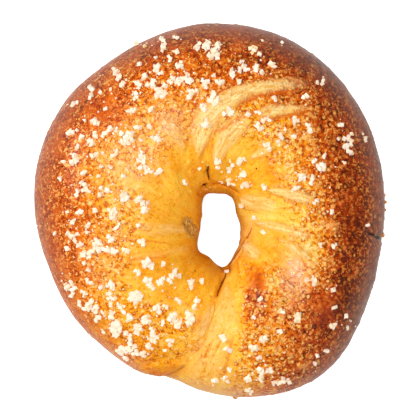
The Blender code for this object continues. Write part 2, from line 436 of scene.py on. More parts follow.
# how the crust browned. A tone of 0 is pale gold, 0.5 orange, 1 nearly black
browning = {
    "holeTone": 0.31,
    "sideTone": 0.42,          # the sides are between this tone and the foot's
    "footTone": 0.36,
    "undersideTone": 0.60,
    "sideEvenness": 0.85,      # how far the sides are held between those tones
    "glaze": 0.08,
    "rimGlaze": 0.38,          # more glaze where the rim sheen is painted
    # heading in degrees: the shares of the way out where browning starts and is full, the tone
    # reached, how speckled the crust is, how many larger blisters it has, how much sheen is painted on its
    # rim
    "aroundRing": {
        0: (0.44, 0.80, 0.83, 0.8, 0.8, 0.60), 30: (0.37, 0.80, 0.80, 0.9, 0.6, 0.60),
        60: (0.44, 0.98, 0.84, 0.9, 0.7, 0.60), 90: (0.40, 0.80, 0.74, 0.8, 0.2, 0.65),
        120: (0.45, 1.00, 0.70, 1.0, 0.0, 0.45), 150: (0.50, 0.95, 0.66, 1.0, 0.0, 0.45),
        180: (0.40, 0.88, 0.63, 0.9, 0.0, 0.40), 210: (0.60, 1.05, 0.56, 0.7, 0.0, 0.20),
        240: (0.50, 1.00, 0.42, 0.6, 0.0, 0.00), 262: (0.60, 1.05, 0.30, 0.4, 0.0, 0.00),
        278: (0.20, 0.70, 0.44, 0.4, 0.7, 0.00), 288: (0.10, 0.40, 0.60, 0.7, 1.0, 0.05),
        300: (0.05, 0.50, 0.70, 0.9, 1.0, 0.35), 330: (0.42, 0.86, 0.88, 0.8, 1.0, 0.75),
    },
    # where the speckles and the blisters set in, before and behind the line where browning starts,
    # and how much rarer they are behind the front, at the rim and down the side
    "speckled": {"start": (-0.22, 0.10), "behindFront": 0.7, "rim": 0.45, "side": 0.85},
    "blistered": {"start": (-0.12, 0.15), "behindFront": 1.0, "rim": 0.4, "side": 1.0},
    # near the overlap the brown part starts at this line, east of it
    "front": {
        "path": [(13.4, -15.6), (12.0, -18.2), (11.7, -22.0), (11.3, -27.4), (10.2, -36.6), (8.1, -42.7),
                 (6.9, -49.4), (5.6, -62.0)],
        "headings": (264, 312),
        "raggedness": 2.4,
        "raggedSize": 3.2,
        "softness": 0.9,           # in millimetres at its start, then how much more along it and down
        "softerAlong": 5.0,
        "softerDown": 14.0,
    },
    # x, y, half length, half width, turn in degrees, how much darker, and how much smoother
    "patches": {
        "deepOrangeFarLeft": (-31.0, 30.0, 6.5, 5.0, 40, 0.12, 0.8),
        "orangeFlank": (-39.5, 3.0, 4.0, 8.0, 0, 0.05, 0.25),
        "paleLowLeft": (-31.0, -20.5, 4.0, 4.0, 20, -0.04, 0.0),
        "goldLowLeft": (-17.0, -17.5, 9.0, 5.5, 0, 0.05, 0.0),
        "orangeBesideFold": (14.8, -20.0, 3.2, 4.0, 0, 0.10, 0.8),
        "orangeFold": (-13.4, -48.7, 7.0, 2.4, 8, 0.06, 1.0),
        "goldRight": (21.0, -8.1, 2.6, 1.3, -20, 0.10, 0.9),
        "redBrownFarBand": (16.0, 46.0, 15.0, 2.6, -6, 0.12, 0.2),
        "redBrownRight": (42.0, -1.0, 4.5, 17.0, 0, 0.10, 0.7),
        "redBrownRightLow": (41.5, -26.0, 4.5, 9.0, 0, 0.13, 0.5),
        "paleRightRim": (38.5, 24.5, 5.0, 4.5, 0, -0.09, 0.0),
        "redBrownLowerRight": (35.0, -30.5, 5.0, 9.0, -25, 0.01, 0.92),
        "redBrownGap": (31.6, -25.6, 2.0, 2.0, 0, 0.10, 0.6),
        "redBrownFront": (14.6, -22.0, 3.4, 4.8, 0, 0.20, 1.0),
        "orangeFrontLow": (14.8, -30.0, 2.4, 3.2, 0, 0.15, 0.4),
        "goldFrontLowest": (13.0, -39.5, 3.0, 5.0, 0, -0.12, 0.0),
        "orangeNearFoot": (14.0, -47.0, 7.0, 8.0, 0, -0.10, 0.0),
        "orangeBetweenRibbons": (20.0, 34.8, 9.0, 1.6, 4, 0.10, 0.0),
        # lightened where the glaze's highlight falls: painted highlight
        "paintedHighlightLowerRight": (26.0, -18.0, 4.0, 5.0, 25, -0.05, 0.5),
        "fanLowPale": (31.0, -12.4, 5.0, 2.6, -30, -0.23, 0.2),
        "orangeFarRightCrown": (20.0, 14.0, 5.0, 6.0, 0, 0.07, 0.0),
        "goldFarFan": (18.5, 9.3, 4.5, 3.6, 0, 0.02, 0.9),
        "goldLeft": (-13.0, 15.0, 5.0, 6.0, 0, 0.05, 0.3),
        "palePeachLeft": (-25.5, 16.5, 7.5, 9.0, 0, -0.11, 0.0),
        "paleLeft": (-31.0, 1.5, 4.0, 4.5, 0, -0.06, 0.0),
        "palePeachFar": (-15.0, 37.0, 4.5, 4.0, 0, -0.07, 0.0),
        "paleFarLeftRim": (-29.0, 41.0, 6.0, 3.5, 35, -0.10, 0.0),
        "paleHoleLeft": (-9.4, 3.0, 4.0, 8.0, 0, -0.05, 0.0),
        "paleHoleRight": (16.0, -1.0, 9.0, 6.0, -8, -0.14, 0.0),
        "goldLowerRight": (20.5, -36.0, 7.5, 9.5, 0, -0.25, 0.0),
        "goldFan": (20.5, -13.0, 3.0, 2.5, 0, 0.12, 0.0),
        "orangeStreakNear": (25.5, -27.0, 4.5, 2.8, 0, -0.14, 0.3),
        "ochreBesideSeam": (-2.5, -27.0, 3.0, 6.0, 0, 0.07, 0.0),
        "orangeFar": (5.0, 45.6, 12.0, 3.8, 0, -0.17, 0.0),
        "paleBelowRibbons": (7.0, 19.5, 6.0, 6.0, 0, -0.11, 0.0),
        "paleFootTop": (6.4, -37.5, 3.0, 7.0, 0, -0.11, 0.0),
        "paleHolePoint": (6.0, -20.8, 2.2, 3.0, 0, -0.08, 0.0),
        "paleFoot": (2.0, -42.0, 6.0, 13.0, 0, -0.05, 0.0),
        "paleRimNear": (9.0, -54.0, 9.0, 4.0, 0, -0.12, 0.0),
    },
    # glossy places, and matt ones below 0: x, y, half length, half width, turn, and how much glaze
    "gloss": [(24.8, -18.5, 3.8, 7.0, 0, 0.42), (-13.4, -48.7, 7.0, 3.0, 8, -0.3),
              (36.0, -2.0, 3.0, 8.0, 0, 0.2), (-42.0, 14.0, 4.0, 14.0, 0, 0.1)],
    # peach-coloured places, partly the crust's own peach tint and partly painted highlight and painted light
    # on the shaded rim: x, y, half length, half width, turn, and how strong
    "peachAndPaintedLight": [(26.0, -19.5, 3.6, 7.5, 0, 0.68), (-24.5, 15.0, 8.0, 12.0, 0, 0.30),
              (-33.0, -15.0, 6.0, 8.0, 0, 0.15), (-12.0, 27.0, 6.0, 6.0, 0, 0.28),
              (11.0, -7.0, 2.5, 5.0, -30, 0.25), (2.0, -57.0, 13.0, 4.5, 0, 0.40),
              (-26.0, -48.0, 10.0, 3.0, -35, 0.35)],
    "scar": (-6.2, -5.2, 1.9, 3.2, 25),
}


def pathDistance(points, path):
    # distance to a line through the path's points, the share of the path at the nearest place, and
    # the side that a point is on: 1 on the path's left, -1 on its right
    nearest, along, side = np.full(len(points), farAway), np.zeros(len(points)), np.ones(len(points))
    legs = len(path) - 1
    for leg, (start, end) in enumerate(zip(path, path[1:])):
        run, out = np.array(end) - np.array(start), points - np.array(start)
        share = np.clip((out @ run) / (run @ run), 0, 1)
        distance = np.linalg.norm(out - share[:, None] * run, axis=1)
        closer = distance < nearest
        nearest = np.where(closer, distance, nearest)
        along = np.where(closer, (leg + share) / legs, along)
        side = np.where(closer, np.sign(run[0] * out[:, 1] - run[1] * out[:, 0]), side)
    return nearest, along, side


def strokeWidth(along, halfWidth, taper=0.25):
    # a stroke's half width along its path, drawn in to a point at both ends
    return halfWidth * np.sqrt(clamp01(along / taper + 0.05) * clamp01((1 - along) / taper + 0.05))


def noiseAt(points, size, seed):
    offset = Vector((seed * 7.31, seed * 3.17, seed * 5.73))
    return np.array([noise.noise(Vector(point) / size + offset) for point in points])


def layeredNoise(points, layers, firstSeed=0):
    return sum(height * noiseAt(points, size, seed) for seed, (size, height) in enumerate(layers, firstSeed))


def streakPoints(reach, heading, twist=0.018, acrossSize=26.0, alongSize=0.6):
    # coordinates in which plain noise draws streaks that run out from the hole and curl clockwise
    turned = np.radians(heading) + twist * reach
    return np.stack([np.cos(turned) * acrossSize, np.sin(turned) * acrossSize, reach * alongSize], 1)


def patchMask(seen, x, y, halfLength, halfWidth, turn):
    cosine, sine = math.cos(math.radians(turn)), math.sin(math.radians(turn))
    east, north = seen[:, 0] - x, seen[:, 1] - y
    along, across = east * cosine + north * sine, north * cosine - east * sine
    return np.exp(-(along / halfLength) ** 2 - (across / halfWidth) ** 2)


def aroundRing(heading, keys):
    # each value for every heading, eased between the headings given
    headings = sorted(keys)
    columns = np.array([keys[key] for key in headings]).T
    return [np.interp(heading, headings, column, period=360) for column in columns]


def seenFromAbove(points):
    # where the eye over the middle sees each point, measured at the height of the waist
    eye, waist = studio["cameraHeight"] / mm, studio["waistHeight"] / mm
    return points[:, :2] * (eye - waist) / (eye - points[:, 2:])


def landOn(surface, x, y):
    # the place that the eye sees at x, y, and the way the surface faces there
    eye = Vector((0, 0, studio["cameraHeight"]))
    return surface.ray_cast(eye, Vector((x * mm, y * mm, studio["waistHeight"])) - eye)[:2]


def readPlaces(points, normals, plan):
    heading, share, below, reach = placesOnRing(points, plan)
    return {
        "seen": seenFromAbove(points),
        "flat": points * (1, 1, 0),
        "heading": heading, "share": share, "below": below, "reach": reach,
        "facing": normals[:, 2], "height": points[:, 2].copy(),
        "up": smoothStep(-0.05, 0.45, normals[:, 2]),
        "offTable": smoothStep(0.0, 2.5, points[:, 2]),
    }


def creaseFields(fields):
    # how deep the creases are, the distance from the nearest one in half widths, and its darkness: painted
    # shade, partly the crust's own darker streak
    count, farOff = len(fields["share"]), 6.0
    depth, offset, dark = np.zeros(count), np.full(count, farOff), np.zeros(count)
    for path, creaseDepth, halfWidth, darkness in creases.values():
        distance, along = pathDistance(fields["seen"], path)[:2]
        width = strokeWidth(along, halfWidth)
        dip = np.exp(-(distance / (halfWidth + 0.35)) ** 2) * width / halfWidth
        depth = np.maximum(depth, creaseDepth * dip)
        if not darkness:
            continue
        offsetHere = np.clip(distance / width, 0, farOff)
        dark = np.where(offsetHere < offset, darkness, dark)
        offset = np.minimum(offset, offsetHere)
    above = smoothStep(-0.10, 0.10, fields["facing"])
    return depth * above, offset + farOff * (1 - above), dark


def bandFields(fields):
    # how high the stretched bands stand, and for the nearest one: the distance from it in half
    # widths, how pale and crisp it is, and the places along and across its fibres
    count, farOff = len(fields["share"]), 4.0
    height, offset = np.zeros(count), np.full(count, farOff)
    found = {name: np.zeros(count) for name in ("bandPale", "bandCrisp", "fibreAlong", "fibreAcross")}
    for order, (points, lift, pale, crisp) in enumerate(bands.values()):
        path = [point[:2] for point in points]
        distance, along, side = pathDistance(fields["seen"], path)
        width = np.interp(along, np.linspace(0, 1, len(points)), [point[2] for point in points])
        width = strokeWidth(along, width, 0.12)
        offsetHere = np.clip(distance / width, 0, farOff)
        height = np.maximum(height, lift * smoothStep(1.5, 0.6, offsetHere))
        nearer = (offsetHere < offset) & (pale > 0)
        offset = np.where(nearer, offsetHere, offset)
        paleHere = pale * smoothStep(1.0, 0.65, along) * smoothStep(-0.02, 0.08, along)
        values = (paleHere, crisp, along * math.dist(path[0], path[-1]), distance * side + 20.0 * order)
        for name, value in zip(found, values):
            found[name] = np.where(nearer, value, found[name])
    found["bandPale"] = found["bandPale"] * fields["up"]
    return height * fields["up"], found | {"bandOffset": offset}


def spreadBrowning(fields, plan):
    # how browned, speckled, blistered and dull the crust is at each point
    start, full, tone, speckles, blisters, paintedRimSheen = aroundRing(fields["heading"], plan["aroundRing"])
    behind = behindFront(fields, plan["front"])
    fields["browned"] = smoothStep(0, 1, (fields["share"] - start) / (full - start)) * (1 - behind)
    rim, side = smoothStep(0.72, 0.96, fields["share"]), smoothStep(0.05, 0.45, fields["below"])
    for name, amount in (("speckled", speckles), ("blistered", blisters)):
        fade = plan[name]
        amount = amount * (1 - fade["behindFront"] * behind)
        calm = (1 - fade["rim"] * rim) * (1 - fade["side"] * side)
        fields[name] = amount * smoothStep(*fade["start"], fields["share"] - start) * calm
    # grey-mauve colour painted on the rim: painted sheen standing in for the reflection of the bright
    # surroundings at the grazing rim
    fields["paintedRimSheen"] = paintedRimSheen * smoothStep(0.80, 0.98, fields["share"]) * smoothStep(1.0, 0.6, fields["below"])
    fields["fullTone"] = tone
    scarred = patchMask(fields["seen"], *plan["scar"])
    fields["scarred"] = scarred * smoothStep(0.0, 4.0, fields["height"] - 14)


def shapeRelief(piece, plan, tones):
    mesh = piece.data
    points = vertexArray(mesh.vertices, "co") / mm
    normals = vertexArray(mesh.vertex_normals, "vector")
    fields = readPlaces(points, normals, plan)
    spreadBrowning(fields, tones)

    relief = layeredNoise(points, plan["swells"])
    nearHole = smoothStep(0.02, 0.12, fields["share"]) * (1 - smoothStep(0.35, 0.8, fields["share"]))
    streaks = streakPoints(fields["reach"], fields["heading"])
    relief += layeredNoise(streaks, plan["streaks"], 4) * nearHole * fields["up"]

    depth, fields["creaseOffset"], fields["creaseShadeAndTone"] = creaseFields(fields)
    height, found = bandFields(fields)
    fields |= found
    scarSize, scarHeight = plan["scarRelief"]
    relief += height - depth + fields["scarred"] * scarHeight * noiseAt(points, scarSize, 8)
    raised, fields["raised"] = blisterRelief(piece, plan, points, fields)
    relief += raised
    points += normals * (relief * fields["offTable"])[:, None]
    points[:, 2] = np.maximum(points[:, 2], 0)
    mesh.vertices.foreach_set("co", (points * mm).astype(np.float32).ravel())
    mesh.update()
    return fields


def behindFront(fields, front):
    # 1 on the pale side of the line where the brown part starts, 0 on its brown side
    distance, along, side = pathDistance(fields["seen"], front["path"])
    low, high = front["headings"]
    held = smoothStep(low, low + 6, fields["heading"]) * smoothStep(high, high - 10, fields["heading"])
    # the line is sharp where it starts, ragged and soft where it ends, and lost down the side
    ragged = front["raggedness"] * noiseAt(fields["flat"], front["raggedSize"], 9)
    ragged = ragged * smoothStep(0.2, 0.7, along)
    spread = front["softness"] + front["softerAlong"] * along * along + front["softerDown"] * fields["below"]
    return held * smoothStep(1.0, -1.0, (distance * side + ragged) / spread)


def blisterRelief(piece, plan, points, fields):
    # single blisters from the list, then small ones strewn where the crust blistered
    tree = kdtree.KDTree(len(points))
    for index, point in enumerate(points):
        tree.insert(point, index)
    tree.balance()
    surface = BVHTree.FromObject(piece, bpy.context.evaluated_depsgraph_get())
    draw = np.random.default_rng(plan["seed"])
    chance = fields["blistered"] + plan["blistersInSpeckles"] * fields["speckled"]
    chance = chance * (1 - smoothStep(0.2, 0.7, fields["below"]))
    chance += plan["strayBlisters"] * (fields["below"] < 0.8)
    chosen = draw.choice(len(points), size=plan["smallBlisters"], replace=False, p=chance / chance.sum())
    blisters = [(points[index], radius, radius * draw.uniform(*plan["smallBlisterRise"]))
                for index, radius in zip(chosen, draw.uniform(*plan["smallBlisterRadius"], len(chosen)))]
    for x, y, radius, height in bigBlisters:
        blisters.append((landOn(surface, x, y)[0] / mm, radius, height))
    relief, raised = np.zeros(len(points)), np.zeros(len(points))
    for centre, radius, height in blisters:
        for spot, index, distance in tree.find_range(centre, radius):
            dome = 1 - (distance / radius) ** 2
            relief[index] = max(relief[index], height * dome * (2 - dome))
            raised[index] = max(raised[index], dome)
    return relief, raised


# what is painted on the crust's points, for its material to read
crustAttributes = ("tone", "speckled", "blistered", "raised", "bandOffset", "bandPale", "bandCrisp",
                   "fibreAlong", "fibreAcross", "creaseOffset", "creaseShadeAndTone", "scarred", "paintedRimSheen", "peachAndPaintedLight",
                   "glazed", "share", "below")


def paintBrowning(piece, fields, plan):
    tone = plan["holeTone"] + (fields["fullTone"] - plan["holeTone"]) * fields["browned"]
    for *patch, darker, smoother in plan["patches"].values():
        mask = patchMask(fields["seen"], *patch) * fields["up"]
        tone += darker * mask
        fields["speckled"] = fields["speckled"] * (1 - smoother * mask)
        fields["blistered"] = fields["blistered"] * (1 - smoother * mask)
    side = smoothStep(0.0, 0.45, fields["below"]) * smoothStep(0.3, 0.7, fields["share"])
    tone += (np.clip(tone, plan["footTone"], plan["sideTone"]) - tone) * side * plan["sideEvenness"]
    base = smoothStep(0.75, 1.0, fields["below"])
    tone += (plan["undersideTone"] - tone) * base
    fields["tone"] = clamp01(tone)
    glazed = plan["glaze"] + plan["rimGlaze"] * fields["paintedRimSheen"]
    for *patch, amount in plan["gloss"]:
        glazed += amount * patchMask(fields["seen"], *patch) * fields["up"]
    fields["glazed"] = np.maximum(glazed, 0) * smoothStep(0.03, 0.12, fields["share"]) * (1 - base)
    peachAndPaintedLight = sum(amount * patchMask(fields["seen"], *patch) for *patch, amount in plan["peachAndPaintedLight"])
    fields["peachAndPaintedLight"] = peachAndPaintedLight * (1 - base)
    for name in crustAttributes:
        storeAttribute(piece.data, name, fields[name])


form = makeFormToWrap("bread_ring")
crustPiece = makeCrustMesh(crust, form)
bpy.data.objects.remove(form)
print("crust wrapped:", len(crustPiece.data.polygons), "faces")
fields = shapeRelief(crustPiece, crust, browning)
print("crust relief shaped")
paintBrowning(crustPiece, fields, browning)

crustFinish = {
    # tone: colour of the crust itself, then of the flecks and blister tops on it, whose paler colour is
    # partly painted highlight
    "tones": [
        (0.00, (250, 216, 132)), (0.18, (248, 192, 62)), (0.34, (242, 156, 10)), (0.46, (229, 120, 5)),
        (0.60, (206, 88, 2)), (0.74, (178, 60, 0)), (0.88, (140, 44, 0)), (1.00, (80, 26, 3)),
    ],
    "flecks": [
        (0.10, (255, 226, 150)), (0.40, (255, 210, 130)), (0.60, (255, 198, 106)), (0.78, (248, 164, 68)),
        (1.00, (204, 106, 30)),
    ],
    "stretched": [(0.30, (249, 192, 96)), (0.50, (255, 217, 138)), (0.70, (255, 238, 182))],
    # peach colour of the crust's own tint, also used for painted highlight and painted light
    "peachAndPaintedLight": (250, 178, 144),
    # colour of the painted rim sheen
    "paintedRimSheen": (138, 92, 70),
    # colours along the creases: painted shade in their hollows, partly the crust's own darker streaks
    "crease": [(0.25, (226, 104, 4)), (0.45, (182, 84, 14)), (0.70, (116, 48, 10)), (1.00, (46, 16, 6))],
    "scar": ((212, 134, 44), (255, 220, 146)),
    "speck": (34, 16, 8),
    # burnt specks: x, y, radius in millimetres
    "specks": [(14.1, 12.4, 0.28), (-4.3, -18.3, 0.26), (-39.8, -21.7, 0.35), (-16.8, -41.6, 0.25)],
    # how often each pattern repeats in a metre
    "scales": {"patches": 190.0, "grain": 2600.0, "worms": 900.0},
    # the same for the blisters and for the noise that bends them into short worms, how far it bends
    # them in metres, and the share of the places in blistered crust that hold one
    "fineBlisters": {"scale": 1220.0, "bendScale": 950.0, "bend": 0.0010, "share": 0.52},
    "coarseBlisters": {"scale": 640.0, "bendScale": 600.0, "bend": 0.0006, "share": 0.62},
    # the streaks beside the hole: their turn in radians and their coarseness, both for each metre
    "streaks": {"twist": 18.0, "across": 13.0, "along": 170.0},
    "fibres": {"across": 1.1, "along": 0.20},   # coarseness of the fibres in the stretched bands
    # how much each pattern darkens the crust at most, and how much lighter the crust is made for it
    "varies": {"patches": (0.34, 0.17), "streaks": (0.28, 0.14), "mottle": (0.70, 0.39)},
    # the same for patterns that are only here and there
    # blisterFootShade is painted shade round the foot of each blister
    "darkens": {"blisterFootShade": 0.22, "gaps": 0.19, "pores": 0.18},
    # painted shade beside the crisp bands' edges, and the raised blisters painted lighter as a highlight
    "darkensBands": {"bandEdgeShade": 0.10, "raised": -0.12},
    # how high each pattern stands, in millimetres
    "stands": {"fineBlisters": 0.16, "coarseBlisters": 0.32, "flecks": 0.12, "gaps": -0.06, "streaks": 0.24,
               "bandFibres": 0.5, "scarCrumbs": 0.5, "pores": -0.08, "unevenness": 0.11, "cuts": -0.4},
    # how much of the crust's own colour each one covers at most
    "covers": {"flecks": 0.95, "paintedRimSheen": 0.9, "scar": 0.55},
    "bandTone": 0.36,          # tone of the bands between their fibres, and how near they come to it
    "bandEvenness": 0.85,
    "roughness": 0.27,
    "rougher": {"patches": 0.18, "torn": 0.4, "matt": 0.4},
    "glazeOnBlisters": 0.20,
    "refraction": 1.36,
    "specular": 0.15,
    "glazeRoughness": 0.15,
}


def streakField(tree, place, holeCentre, plan):
    # noise drawn out along lines that leave the hole and curl clockwise
    centred = vectorMaths(tree, "SUBTRACT", place, [value * mm for value in holeCentre] + [0])
    parts = addNode(tree, "SeparateXYZ", {0: centred}).outputs
    reach = vectorMaths(tree, "LENGTH", vectorMaths(tree, "MULTIPLY", centred, (1, 1, 0)), out="Value")
    turned = maths(tree, "MULTIPLY_ADD", reach, plan["twist"], maths(tree, "ARCTAN2", parts["Y"], parts["X"]))
    streaked = addNode(tree, "CombineXYZ", {
        "X": maths(tree, "MULTIPLY", maths(tree, "COSINE", turned), plan["across"]),
        "Y": maths(tree, "MULTIPLY", maths(tree, "SINE", turned), plan["across"]),
        "Z": maths(tree, "MULTIPLY", reach, plan["along"])}).outputs[0]
    return plainNoise(tree, streaked, 1.0, 4.0, 0.6)


def bendPlace(tree, place, scale, bend):
    # places pushed about, so that round cells turn into short worms
    pushed = addNode(tree, "TexNoise", {"Vector": place, "Scale": scale, "Detail": 1.0}).outputs["Color"]
    return vectorMaths(tree, "MULTIPLY_ADD", pushed, (bend, bend, bend), place)


def blisterLayer(tree, place, amount, plan):
    # blister tops, in some cells only and of uneven size, and the ring at their foot where shade is painted
    bent = bendPlace(tree, place, plan["bendScale"], plan["bend"])
    cells = addNode(tree, "TexVoronoi", {"Vector": bent, "Scale": plan["scale"], "Randomness": 1.0}).outputs
    luck = addNode(tree, "SeparateColor", {"Color": cells["Color"]}).outputs
    reach = maths(tree, "MULTIPLY_ADD", luck[1], 0.30, 0.26)
    out = maths(tree, "DIVIDE", cells["Distance"], reach)
    chance = maths(tree, "MULTIPLY", amount, plan["share"])
    grown = softRange(tree, maths(tree, "SUBTRACT", chance, luck[0]), -0.04, 0.04)
    dome = maths(tree, "MULTIPLY", softRange(tree, out, 1.1, 0.35), grown)
    foot = maths(tree, "MULTIPLY", softRange(tree, out, 1.9, 1.1), grown)
    return dome, maths(tree, "SUBTRACT", foot, dome)


def spotsMask(tree, place, spots):
    flat = vectorMaths(tree, "MULTIPLY", place, (1, 1, 0))
    mask = 0.0
    for x, y, radius in spots:
        distance = vectorMaths(tree, "DISTANCE", flat, (x * mm, y * mm, 0), out="Value")
        mask = maths(tree, "MAXIMUM", mask, softRange(tree, distance, radius * mm, radius * mm * 0.6))
    return mask


def blisterTexture(tree, place, attribute, grain, plan):
    # two sizes of blister, and wormy flecks, gaps and pores between them
    uneven = softRange(tree, grain["Patches"], 0.32, 0.62, 0.35, 1.15)
    speckled = maths(tree, "MULTIPLY", attribute["speckled"], uneven)
    finer = maths(tree, "MULTIPLY", speckled, maths(tree, "MULTIPLY_ADD", attribute["blistered"], -0.45, 1.0))
    fine, fineFoot = blisterLayer(tree, place, finer, plan["fineBlisters"])
    coarse, coarseFoot = blisterLayer(tree, place, attribute["blistered"], plan["coarseBlisters"])
    worms = addNode(tree, "TexNoise", {"Vector": place, "Scale": plan["scales"]["worms"], "Detail": 3.0,
                                       "Roughness": 0.6, "Distortion": 0.8}).outputs["Fac"]
    textured = softRange(tree, maths(tree, "MAXIMUM", speckled, attribute["blistered"]), 0.0, 0.6)
    fleck = maths(tree, "MULTIPLY", softRange(tree, worms, 0.55, 0.61),
                  maths(tree, "MULTIPLY_ADD", textured, 0.75, 0.15))
    # the tops of the raised blisters, painted paler as a highlight
    top = maths(tree, "MULTIPLY", softRange(tree, attribute["raised"], 0.35, 0.80),
                maths(tree, "MULTIPLY", textured, 0.35))
    lifted = fine
    for other in (coarse, fleck, top):
        lifted = maths(tree, "MAXIMUM", lifted, other)
    mottle = maths(tree, "MULTIPLY_ADD", worms, 0.6, maths(tree, "MULTIPLY", grain["Grain"], 0.4))
    return {
        "fineBlisters": fine, "coarseBlisters": coarse, "flecks": fleck, "worms": worms, "mottle": mottle,
        "blisterFootShade": maths(tree, "MAXIMUM", fineFoot, coarseFoot),
        "gaps": maths(tree, "MULTIPLY", softRange(tree, worms, 0.48, 0.40), textured),
        "pores": softRange(tree, mottle, 0.46, 0.40),
        "lifted": lifted,
    }


def bandTexture(tree, attribute, worms, fibre):
    # the stretched bands: fibres along them, frayed edges, and a line of painted shade beside the crisp ones
    fibrePlace = addNode(tree, "CombineXYZ", {
        "X": maths(tree, "MULTIPLY", attribute["fibreAcross"], fibre["across"]),
        "Y": maths(tree, "MULTIPLY", attribute["fibreAlong"], fibre["along"])}).outputs[0]
    fibres = plainNoise(tree, fibrePlace, 1.0, 4.0, 0.65)
    fray = maths(tree, "MULTIPLY_ADD", fibres, 2.4, maths(tree, "MULTIPLY_ADD", worms, 1.0, -1.7))
    fray = maths(tree, "MULTIPLY", fray, maths(tree, "MULTIPLY_ADD", attribute["bandCrisp"], -0.9, 1.8))
    offset = maths(tree, "ADD", attribute["bandOffset"], fray)
    stretched = maths(tree, "MULTIPLY", softRange(tree, offset, 1.6, 0.4), attribute["bandPale"])
    fromEdge = maths(tree, "MULTIPLY_ADD", fray, 0.3, maths(tree, "SUBTRACT", attribute["bandOffset"], 1.45))
    edge = maths(tree, "MULTIPLY", softRange(tree, maths(tree, "ABSOLUTE", fromEdge), 0.45, 0.05),
                 maths(tree, "MULTIPLY", attribute["bandPale"], attribute["bandCrisp"]))
    return {"fibres": fibres, "stretched": stretched, "bandEdgeShade": edge,
            "bandFibres": maths(tree, "MULTIPLY", fibres, stretched)}


def creaseTexture(tree, attribute, worms):
    # creases with frayed edges, and the torn scar beside the hole with its crumbs
    frayed = maths(tree, "MULTIPLY_ADD", worms, 1.6, maths(tree, "SUBTRACT", attribute["creaseOffset"], 0.8))
    creased = maths(tree, "MULTIPLY", softRange(tree, frayed, 1.5, 0.2),
                    softRange(tree, attribute["creaseShadeAndTone"], 0.0, 0.4))
    crumbs = softRange(tree, worms, 0.42, 0.58)
    scarred = softRange(tree, maths(tree, "MULTIPLY_ADD", worms, 0.8, attribute["scarred"]), 0.65, 0.95)
    return {"creased": creased, "crumbs": crumbs, "scarred": scarred,
            "cuts": maths(tree, "MULTIPLY", creased, softRange(tree, attribute["creaseShadeAndTone"], 0.1, 0.5)),
            "scarCrumbs": maths(tree, "MULTIPLY", crumbs, scarred)}


def crustTone(tree, attribute, texture, plan):
    tone = attribute["tone"]
    for name, (darker, lighter) in plan["varies"].items():
        tone = maths(tree, "MULTIPLY_ADD", texture[name], darker, maths(tree, "SUBTRACT", tone, lighter))
    for name, darker in plan["darkens"].items():
        tone = maths(tree, "MULTIPLY_ADD", texture[name], darker, tone)
    # the bands are stretched pale dough, so what shows between their fibres is lighter too
    paler = maths(tree, "MULTIPLY", texture["stretched"], maths(tree, "SUBTRACT", plan["bandTone"], tone))
    tone = maths(tree, "MULTIPLY_ADD", paler, plan["bandEvenness"], tone)
    for name, darker in plan["darkensBands"].items():
        tone = maths(tree, "MULTIPLY_ADD", texture[name], darker, tone)
    return tone


def crustColour(tree, place, attribute, texture, plan):
    covers = plan["covers"]
    tone = crustTone(tree, attribute, texture, plan)
    colour = colourRamp(tree, tone, plan["tones"])
    # blister tops and flecks painted paler: partly the crust's own pale flecks, partly painted highlight
    paleFlecksAndHighlights = maths(tree, "MULTIPLY", texture["lifted"], covers["flecks"])
    colour = mixColours(tree, paleFlecksAndHighlights, colour, colourRamp(tree, tone, plan["flecks"]))
    # fibres and pores let the darker crust through the pale bands
    covered = maths(tree, "MULTIPLY_ADD", texture["pores"], -0.4,
                    softRange(tree, texture["fibres"], 0.38, 0.60, 0.45, 1.00))
    colour = mixColours(tree, maths(tree, "MULTIPLY", texture["stretched"], covered), colour,
                        colourRamp(tree, texture["fibres"], plan["stretched"]))
    # peach painted here is partly the crust's own tint and partly painted highlight and painted light on
    # shade
    peach = maths(tree, "MULTIPLY", attribute["peachAndPaintedLight"],
                  softRange(tree, texture["worms"], 0.40, 0.60, 0.5, 1.2))
    colour = mixColours(tree, peach, colour, paint(*plan["peachAndPaintedLight"]))
    # painted sheen: the rim's grazing reflection painted into the colour
    paintedRimSheen = maths(tree, "MULTIPLY", attribute["paintedRimSheen"], covers["paintedRimSheen"])
    colour = mixColours(tree, paintedRimSheen, colour, paint(*plan["paintedRimSheen"]))
    # painted shade along the creases, partly the crust's own darker streaks
    colour = mixColours(tree, texture["creased"], colour,
                        colourRamp(tree, attribute["creaseShadeAndTone"], plan["crease"]))
    darkScar, paleScar = plan["scar"]
    scarColour = mixColours(tree, texture["crumbs"], paint(*darkScar), paint(*paleScar))
    colour = mixColours(tree, maths(tree, "MULTIPLY", texture["scarred"], covers["scar"]), colour, scarColour)
    return mixColours(tree, spotsMask(tree, place, plan["specks"]), colour, paint(*plan["speck"]))


def crustRoughness(tree, attribute, texture, plan):
    # torn crust is rough, and so are the underside and the wall of the hole
    rougher = plan["rougher"]
    rough = maths(tree, "MULTIPLY_ADD", texture["patches"], rougher["patches"], plan["roughness"])
    torn = maths(tree, "MAXIMUM", texture["scarred"], texture["creased"])
    rough = maths(tree, "MULTIPLY_ADD", torn, rougher["torn"], rough)
    matt = maths(tree, "MAXIMUM", softRange(tree, attribute["below"], 0.5, 0.9),
                 softRange(tree, attribute["share"], 0.12, 0.02))
    return maths(tree, "MULTIPLY_ADD", matt, rougher["matt"], rough)


